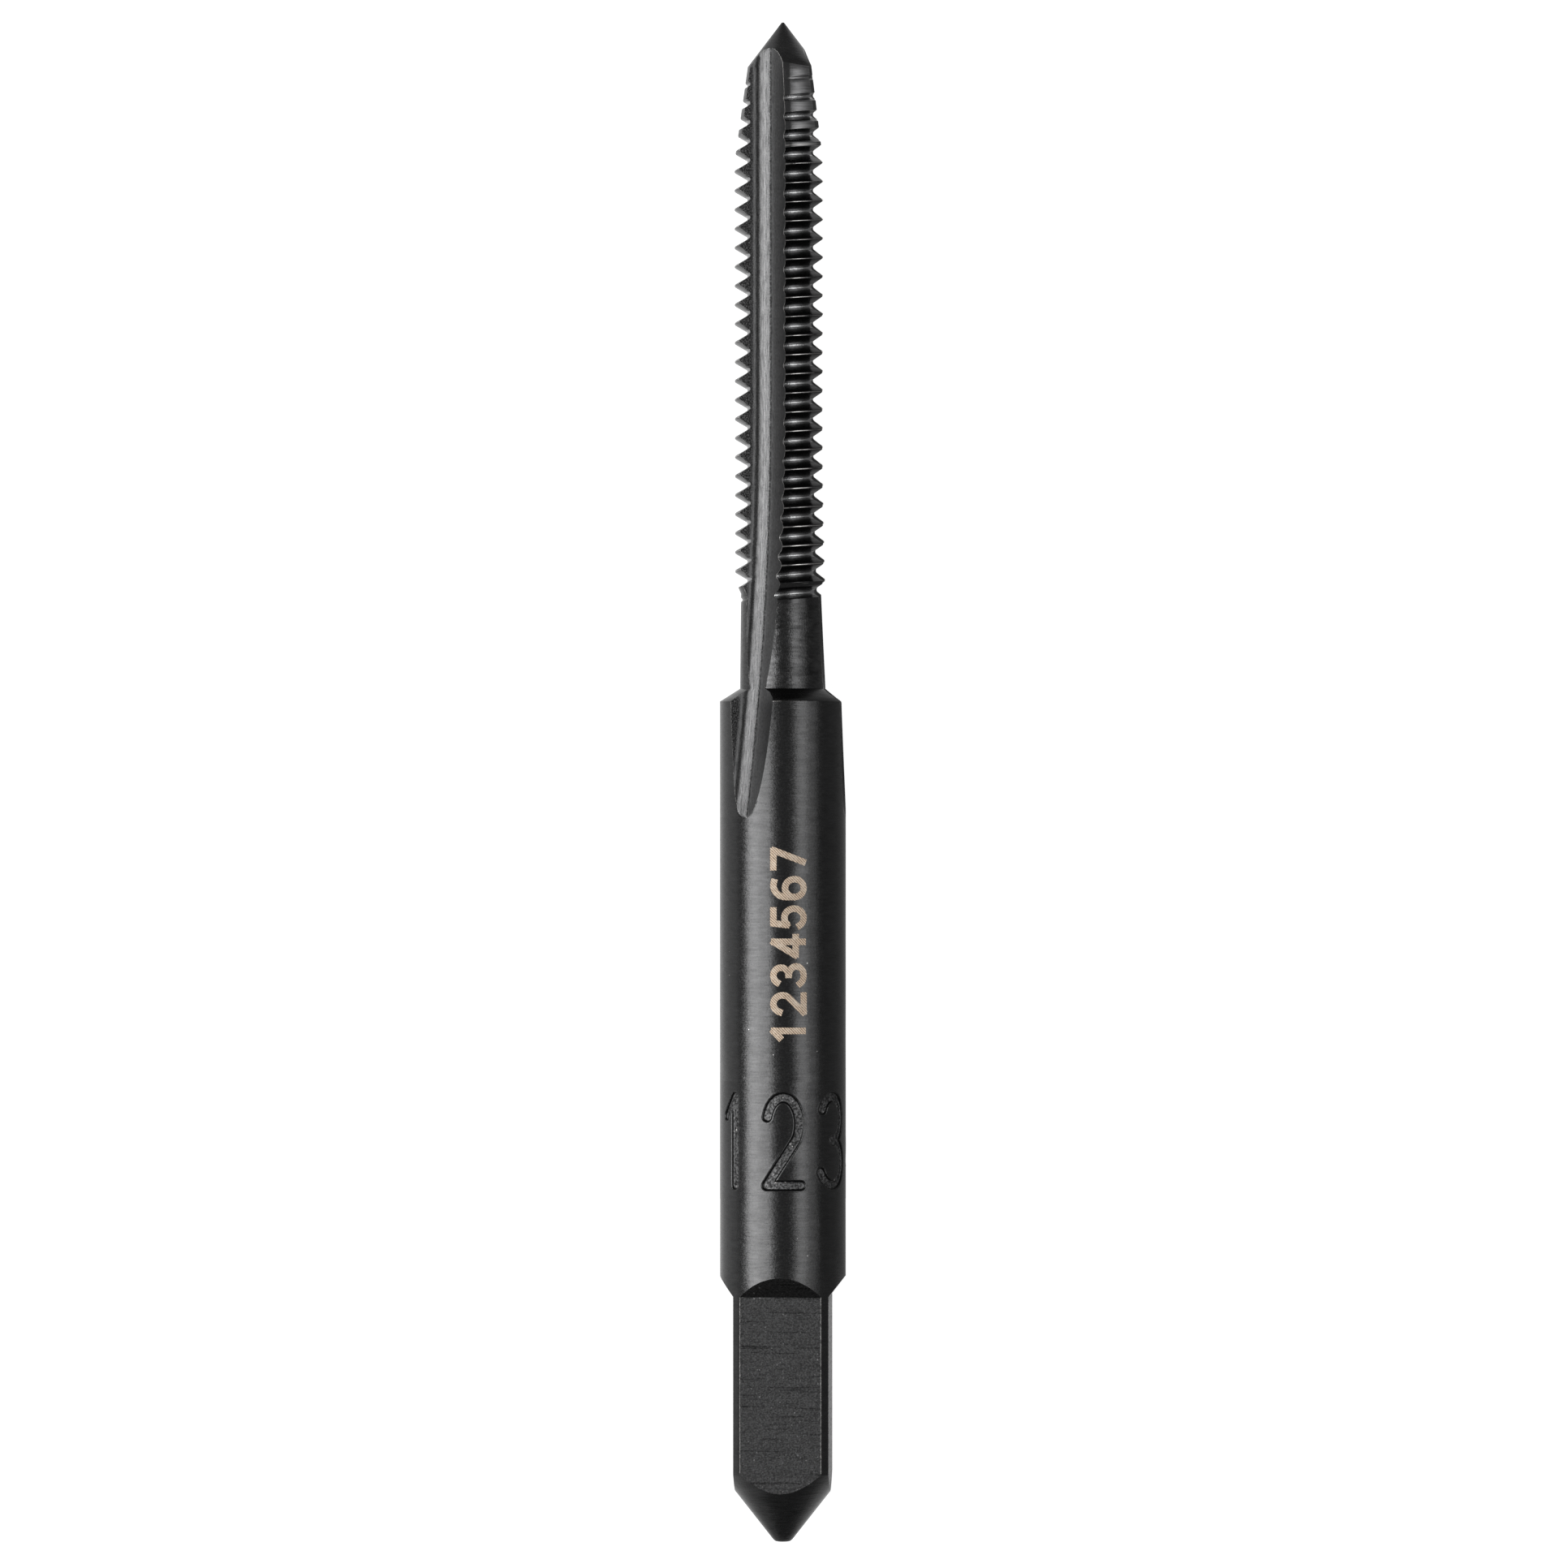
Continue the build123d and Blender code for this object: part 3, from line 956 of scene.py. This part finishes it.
def turned_finish(name, around, along, depth, roughness, mottle, specks=0.03, tone=1.0):
    """Turned or cylindrically ground steel: fine rings, mottling and a few bright specks."""
    f = Finish(name)
    rings = f.noise(f.turned(around, along), 3.0)
    coarse = f.noise(f.turned(around * 0.5, along * 0.22), 2.0)
    grains = f.noise(f.turned(26.0, 15.0), 2.0)
    amount = f.plus(f.times(rings, 0.6), f.times(coarse, 0.4))
    colour = f.oxide(amount, 0.35, 0.65, tone * (1 - mottle), tone * (1 + mottle))
    bright = f.dots(f.turned(13.0, 7.0), 0.12, specks)
    colour = f.blend(f.calc("MAXIMUM", bright, f.worn_edge(0.6)), colour, WORN)
    height = f.plus(rings, f.plus(f.times(grains, 0.35), f.times(coarse, 0.8)))
    rough = f.spread(grains, 0.3, 0.7, roughness * 0.85, roughness * 1.2)
    return f.finish(colour, rough, height, depth)


def floor_finish():
    """The flute's floor: bright, ground along the tap, with granules and scratches."""
    f = Finish("floor")
    streaks = f.noise(f.stretched(34.0, 2.0, 7.0), 3.0)
    grains = f.noise(f.stretched(30.0, 16.0, 7.0), 4.0)
    scratch = f.noise(f.stretched(45.0, 1.2, 3.0), 1.0)
    corner = f.spread(f.away(f.u, 0.01), 0.045, 0.0)
    dark = f.calc("MAXIMUM", corner, f.spread(scratch, 0.64, 0.7))
    mixed = f.plus(f.times(streaks, 0.6), f.times(grains, 0.4))
    colour = f.oxide(mixed, 0.38, 0.6, 1.4, 3.2)
    colour = f.blend(f.times(dark, f.spread(grains, 0.3, 0.6, 1.0, 0.3)), colour, DEEP)
    height = f.plus(streaks, f.times(grains, 0.35))
    return f.finish(colour, f.spread(streaks, 0.35, 0.65, 0.28, 0.38), height, 0.004)


def heel_finish():
    """The flute's hollow wall: smooth and dark, scratched along the tap beside the floor."""
    f = Finish("heel")
    near = f.spread(f.u, -0.42, -0.02)
    streaks = f.noise(f.stretched(26.0, 2.2, 5.0), 3.0)
    grains = f.noise(f.stretched(20.0, 12.0, 5.0), 2.0)
    corner = f.spread(f.away(f.u, -0.012), 0.06, 0.0)
    broken = f.spread(f.noise(f.stretched(3.0, 9.0, 5.0), 3.0), 0.35, 0.55)
    mixed = f.plus(f.times(streaks, 0.5), f.times(grains, 0.5))
    colour = f.oxide(mixed, 0.38, 0.62, 1.05, 1.75)
    colour = f.blend(f.times(f.spread(streaks, 0.5, 0.62), near), colour, shade(OXIDE, 0.7))
    colour = f.blend(f.times(corner, broken), colour, DEEP)
    colour = f.blend(f.worn_edge(1.25, 12.0), colour, shade(WORN, 2.1))
    height = f.times(f.plus(f.times(streaks, 0.6), grains), f.spread(near, 0.0, 1.0, 0.5, 1.0))
    return f.finish(colour, f.spread(near, 0.0, 1.0, 0.46, 0.42), height, 0.004)


def face_finish():
    """The cutting faces: rough, speckled light and dark, with a bare cutting edge."""
    f = Finish("face")
    grains = f.noise(f.stretched(28.0, 18.0, 3.0), 4.0)
    streaks = f.noise(f.stretched(18.0, 2.5, 3.0), 2.0)
    outer = f.spread(f.u, FACE_START - 0.1, FACE_START + 0.15)
    plain = f.oxide(streaks, 0.35, 0.65, 0.9, 1.6)
    rough = f.oxide(grains, 0.45, 0.64, 0.4, 2.6)
    colour = f.blend(outer, plain, rough)
    specks = f.dots(f.stretched(22.0, 16.0, 3.0), 0.26, 0.08)
    colour = f.blend(f.times(specks, outer), colour, shade(WORN, 0.7))
    colour = f.blend(f.worn_edge(0.8, 16.0), colour, WORN)
    height = f.times(f.plus(grains, f.times(streaks, 0.4)), f.spread(outer, 0.0, 1.0, 0.35, 1.0))
    return f.finish(colour, f.spread(grains, 0.3, 0.7, 0.24, 0.38), height, 0.007)


def thread_finish():
    """Crests, flanks and roots of the thread, and the ground lead: fine grain, bare at the corners, with a
    painted highlight in the roots and on a band of each lead facet.
    """
    f = Finish("thread")
    grains = f.noise(f.turned(26.0, 20.0), 2.0)
    rings = f.noise(f.turned(5.0, 30.0), 2.0)
    lead_under, lead_past = 0.07, 0.1
    # The whole lead is lighter ground metal; a band of each lead facet, 7 to 45 degrees behind the cutting
    # edge, is painted brighter still as a painted highlight.
    painted_highlight_from = (math.radians(7), math.radians(9))
    painted_highlight_to = (math.radians(45), math.radians(42))
    lead_r = f.plus(f.times(f.place, LEAD_SLOPE), CREST_R - LEAD_SLOPE * CHAMFER_END - lead_under)
    outside = f.calc("GREATER_THAN", f.w, lead_r)
    on_lead = f.times(outside, f.calc("LESS_THAN", f.place, CHAMFER_END + lead_past))
    # The roots are painted six times brighter than the oxide as a painted highlight, and given a stronger
    # bump.
    root = f.times(f.spread(f.w, ROOT_TOP_R + 0.03, ROOT_TOP_R - 0.01), f.calc("SUBTRACT", 1.0, on_lead))
    colour = f.oxide(grains, 0.35, 0.65, 0.85, 1.2)
    colour = f.blend(root, colour, shade(OXIDE, 6.0))
    scratches = f.noise(f.turned(2.0, 34.0), 2.0)
    from_edge = f.plus(f.u, 2 * math.pi - math.radians(FLUTE_ROLL + CUTTING_EDGE))
    behind = f.calc("MODULO", from_edge, math.radians(SECTOR))
    ground = f.times(f.spread(behind, *painted_highlight_from), f.spread(behind, *painted_highlight_to))
    bright = f.oxide(scratches, 0.35, 0.65, 2.4, 4.0)
    colour = f.blend(on_lead, colour, f.blend(ground, shade(OXIDE, 2.0), bright))
    colour = f.blend(f.worn_edge(0.8, 8.0), colour, WORN)
    height = f.plus(f.times(grains, 0.6), f.times(rings, 0.5))
    height = f.times(height, f.spread(root, 0.0, 1.0, 0.3, 2.0))
    rough = f.plus(f.spread(grains, 0.3, 0.7, 0.18, 0.26), f.times(f.times(on_lead, ground), 0.16))
    return f.finish(colour, rough, height, 0.005)


def flat_finish(name, tone, roughness):
    """The square's ground flats: granular, with a few long dark scratches across."""
    f = Finish(name)
    grains = f.noise(f.stretched(18.0, 24.0, 0.1), 4.0)
    across = f.noise(f.stretched(1.2, 22.0, 0.1), 2.0)
    scratch = f.spread(f.noise(f.stretched(0.45, 11.0, 0.1), 2.0), 0.60, 0.68)
    colour = f.oxide(grains, 0.36, 0.66, 0.6 * tone, 1.5 * tone)
    colour = f.blend(f.times(scratch, f.spread(grains, 0.3, 0.6, 0.9, 0.4)), colour, DEEP)
    flecks = f.times(f.dots(f.stretched(11.0, 12.0, 0.1), 0.34, 0.16), f.spread(grains, 0.4, 0.6))
    colour = f.blend(flecks, colour, shade(OXIDE, 3.6))
    colour = f.blend(f.worn_edge(1.0, 9.0), colour, WORN)
    height = f.plus(f.times(grains, 1.2), across)
    return f.finish(colour, f.spread(across, 0.3, 0.7, roughness * 0.85, roughness * 1.15), height, 0.009)


def pressed_finish():
    """The band: the shank's finish, with numerals whose walls are painted dark as painted shade, and coarse,
    bright-flecked bottoms.
    """
    f = Finish("pressed")
    rings = f.noise(f.turned(6.0, 23.0), 3.0)
    coarse = f.noise(f.turned(3.0, 5.1), 2.0)
    grains = f.noise(f.turned(26.0, 15.0), 2.0)
    inside = f.attribute("pressed").outputs["Fac"]
    amount = f.plus(f.times(rings, 0.6), f.times(coarse, 0.4))
    plain = f.oxide(amount, 0.35, 0.65, 0.84, 1.16)
    bottom = f.oxide(grains, 0.4, 0.6, 0.6, 2.6)
    flecks = f.dots(f.turned(26.0, 13.0), 0.4, 0.10)
    bottom = f.blend(flecks, bottom, WORN)
    colour = f.blend(f.spread(inside, 0.7, 1.0), plain, bottom)
    # The numerals' walls are painted near black: painted shade in the recesses.
    wall = f.spread(f.away(inside, 0.45), 0.4, 0.1)
    colour = f.blend(wall, colour, DEEP)
    colour = f.blend(f.times(f.worn_edge(0.45, 7.0), 0.6), colour, WORN)
    rough_grain = f.times(f.spread(inside, 0.5, 1.0), f.times(grains, 3.0))
    height = f.plus(f.plus(rings, f.plus(f.times(grains, 0.35), f.times(coarse, 0.8))), rough_grain)
    rough = f.plus(f.spread(grains, 0.3, 0.7, 0.208, 0.294), f.times(inside, 0.22))
    return f.finish(colour, rough, height, 0.009)


def etched_finish():
    """The numerals: laser-etched to a beige tint by fine diagonal passes."""
    f = Finish("etched")
    diagonal = f.plus(f.times(f.u, SHANK_R), f.place)
    wobble = f.noise(f.turned(30.0, 16.0), 2.0)
    wave = f.calc("SINE", f.plus(f.times(diagonal, 2 * math.pi / HATCH), f.times(wobble, 5.0)))
    tint = f.blend(f.spread(wave, -0.9, 0.8), BEIGE_DARK, BEIGE)
    patch = f.noise(f.turned(9.0, 5.0), 2.0)
    tint = f.blend(f.spread(patch, 0.45, 0.75, 0.0, 0.5), tint, BEIGE_PALE)
    f.put(0.35, f.shader.inputs["Metallic"])
    return f.finish(tint, f.spread(wave, -1.0, 1.0, 0.5, 0.62), f.plus(f.times(wave, 0.3), wobble), 0.004)


# The point's finish is painted brighter (tone 1.15) as painted light, and the shoulder's, the ramp's and the
# rear cone's darker (tones 0.8, 0.7 and 0.6) as painted shade.
finishes = {
    "point": turned_finish("point", 3.0, 26.0, depth=0.004, roughness=0.28, mottle=0.20, tone=1.15),
    "thread": thread_finish(),
    "neck": turned_finish("neck", 4.5, 13.0, depth=0.014, roughness=0.26, mottle=0.4, specks=0.05),
    "shoulder": turned_finish("shoulder", 4.0, 22.0, depth=0.003, roughness=0.24, mottle=0.25, tone=0.8),
    "shank": turned_finish("shank", 6.0, 23.0, depth=0.009, roughness=0.245, mottle=0.16),
    "heel": heel_finish(),
    "floor": floor_finish(),
    "face": face_finish(),
    "flat": flat_finish("flat", tone=1.0, roughness=0.42),
    "ramp": flat_finish("ramp", tone=0.7, roughness=0.30),
    "rear": turned_finish("rear", 3.0, 26.0, depth=0.005, roughness=0.26, mottle=0.30, tone=0.6),
}
for name in MATERIALS:
    body.materials.append(finishes[name])
stamp.materials.append(pressed_finish())
numerals.materials.append(etched_finish())


# ---------------------------------------------------------------- floor, light and camera

FLOOR_HALF = 1.5
FLOOR_GREY = (0.30, 0.30, 0.30)
FLOOR_GLOW = 0.90
FLOOR_BRIGHT = 0.80
FLOOR_DARK = 0.24

# Where the floor is bright in mirror rays: from and to in millimetres, and the share of brightness at each
BRIGHT_LEFT = (0.5, 2.5, 1.0, 0.0)
BRIGHT_BESIDE = (23.0, 27.0, 1.0, 0.0)
BRIGHT_FRONT = (20.5, 22.0, 0.0, 1.0)
BRIGHT_REAR = (-15.9, -16.3, 0.0, 1.0)
BRIGHT_ENDS = (8.0, 4.0, 0.0, 1.0)

SKY_GREY = (0.20, 0.20, 0.20, 1)
SKY_SEEN = 5.0

LIGHT_AWAY = 0.5
LIGHT_LONG = 52

CAMERA_AWAY = 300.0
CAMERA_X = 0.036
CAMERA_Y = -0.064
FRAME_WIDTH = 49.45
SENSOR = 36.0


def floor_material():
    """White to the camera, grey to other rays, and to mirror rays bright in places as the photo's room is."""
    f = Finish("white_floor")
    looks = {"Metallic": 0.0, "Base Color": FLOOR_GREY, "Roughness": 0.9, "Specular IOR Level": 0.0}
    for name, value in looks.items():
        f.put(value, f.shader.inputs[name])
    path = f.node("LightPath").outputs
    where = f.node("SeparateXYZ")
    f.put(f.node("NewGeometry").outputs["Position"], where.inputs[0])

    def share(value, start, stop, at_start, at_stop):
        return f.spread(value, start * MM, stop * MM, at_start, at_stop)

    x, y, _ = where.outputs
    left = share(x, *BRIGHT_LEFT)
    beside = share(f.calc("ABSOLUTE", y), *BRIGHT_BESIDE)
    past_ends = f.plus(share(y, *BRIGHT_FRONT), share(y, *BRIGHT_REAR))
    bright = f.calc("MAXIMUM", f.times(left, beside), f.times(past_ends, share(x, *BRIGHT_ENDS)))
    mirrored = f.plus(FLOOR_DARK, f.times(FLOOR_BRIGHT - FLOOR_DARK, bright))
    glow = f.node("Emission")
    f.put(f.times(path["Is Camera Ray"], FLOOR_GLOW), glow.inputs["Strength"])
    seen = f.node("Emission", Strength=mirrored)
    lit = f.node("AddShader", f.shader.outputs[0], glow.outputs[0])
    mix = f.node("MixShader", path["Is Glossy Ray"], lit.outputs[0], seen.outputs[0])
    f.put(mix.outputs[0], f.nodes["Material Output"].inputs["Surface"])
    return f.material


def softbox(name, side, lowest, highest, radiance):
    """A softbox on the +X (side 1) or -X (side -1) side, between two elevations in degrees."""
    wide = highest - lowest
    angle = math.radians((lowest + highest) / 2)
    light = bpy.data.lights.new(name, "AREA")
    light.shape = "RECTANGLE"
    light.size = 2 * LIGHT_AWAY * math.tan(math.radians(wide / 2))
    light.size_y = 2 * LIGHT_AWAY * math.tan(math.radians(LIGHT_LONG / 2))
    light.energy = radiance * math.pi * light.size * light.size_y
    lamp = add_object(name, light)
    lamp.location = (side * LIGHT_AWAY * math.cos(angle), 0, SHANK_R * MM + LIGHT_AWAY * math.sin(angle))
    lamp.rotation_euler = (0, side * (math.pi / 2 - angle), 0)


floor_mesh = bpy.data.meshes.new("floor")
floor_corners = [(FLOOR_HALF * x, FLOOR_HALF * y, 0) for x, y in ((-1, -1), (1, -1), (1, 1), (-1, 1))]
floor_mesh.from_pydata(floor_corners, [], [(0, 1, 2, 3)])
floor = add_object("floor", floor_mesh)
floor_mesh.materials.append(floor_material())

world = bpy.data.worlds.new("studio")
bpy.context.scene.world = world
world.use_nodes = True
sky, sky_links = world.node_tree.nodes, world.node_tree.links
sky["Background"].inputs["Color"].default_value = SKY_GREY
sky_path = sky.new("ShaderNodeLightPath")
sky_strength = sky.new("ShaderNodeMapRange")
sky_links.new(sky_path.outputs["Is Camera Ray"], sky_strength.inputs["Value"])
sky_strength.inputs["To Min"].default_value = 1.0
sky_strength.inputs["To Max"].default_value = SKY_SEEN
sky_links.new(sky_strength.outputs[0], sky["Background"].inputs["Strength"])

softbox("left_softbox_low", -1, 21, 46, 5.6)
softbox("left_softbox_high", -1, 46, 69, 3.9)
softbox("right_softbox_high", 1, 46, 66, 2.4)
softbox("right_softbox_low", 1, 26, 46, 0.8)

camera_data = bpy.data.cameras.new("camera")
camera = add_object("camera", camera_data)
camera.location = (CAMERA_X * MM, CAMERA_Y * MM, CAMERA_AWAY * MM)
camera_data.sensor_width = SENSOR
camera_data.lens = SENSOR * (CAMERA_AWAY - SHANK_R) / FRAME_WIDTH
camera_data.clip_start = 0.01
bpy.context.scene.camera = camera
bpy.context.scene.view_settings.view_transform = "Standard"
